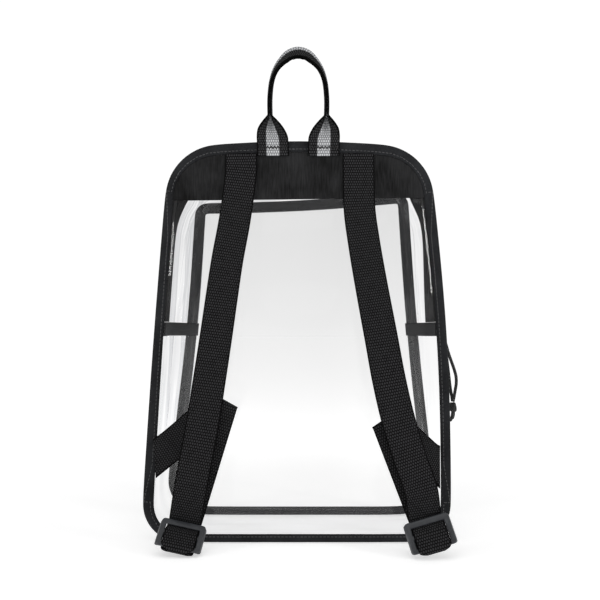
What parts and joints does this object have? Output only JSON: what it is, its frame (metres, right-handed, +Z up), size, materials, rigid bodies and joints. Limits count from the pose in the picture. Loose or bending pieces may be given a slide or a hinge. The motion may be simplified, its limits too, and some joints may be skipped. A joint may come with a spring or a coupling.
{
  "type": "clear backpack",
  "caption": "Upright clear backpack with black bound edges, a zipper over the top, a looped carry handle and two webbing shoulder straps with slide buckles",
  "frame": {"origin": "on the floor, under the middle of the bag's box, with the zipper's pull cord left out of the count", "axes": "+Z up, -Y towards the side with the shoulder straps, X across the bag with the zipper slider at +X; the bag stands upright on the lower edges of its two bindings"},
  "size_m": [0.3177, 0.2004, 0.497],
  "materials": {
    "clear_vinyl": "clear, glossy",
    "yoke_cloth": "woven, matt",
    "edge_tape": "woven, matt",
    "zipper_tape": "woven, matt",
    "zipper_coil": "satin",
    "slider_metal": "satin",
    "striped_webbing": "woven, matt",
    "webbing": "woven, matt",
    "buckle_plastic": "satin",
    "cord": "braided"
  },
  "bodies": {
    "root": {"back_panel": "clear_vinyl", "back_yoke": "yoke_cloth", "back_binding": "edge_tape", "front_panel": "clear_vinyl", "front_binding": "edge_tape", "lower_gusset": "clear_vinyl", "upper_gusset": "clear_vinyl", "seam_bar_left": "edge_tape", "seam_bar_right": "edge_tape", "zipper_tape_back": "zipper_tape", "zipper_tape_front": "zipper_tape", "zipper_coil": "zipper_coil", "zipper_slider": "slider_metal", "carry_handle": "striped_webbing", "shoulder_strap_left": "webbing", "slide_buckle_left": "buckle_plastic", "shoulder_strap_right": "webbing", "slide_buckle_right": "buckle_plastic", "pull_cord_outer": "cord", "pull_cord_inner": "cord", "pull_knot": "cord"}
  },
  "joints": []
}
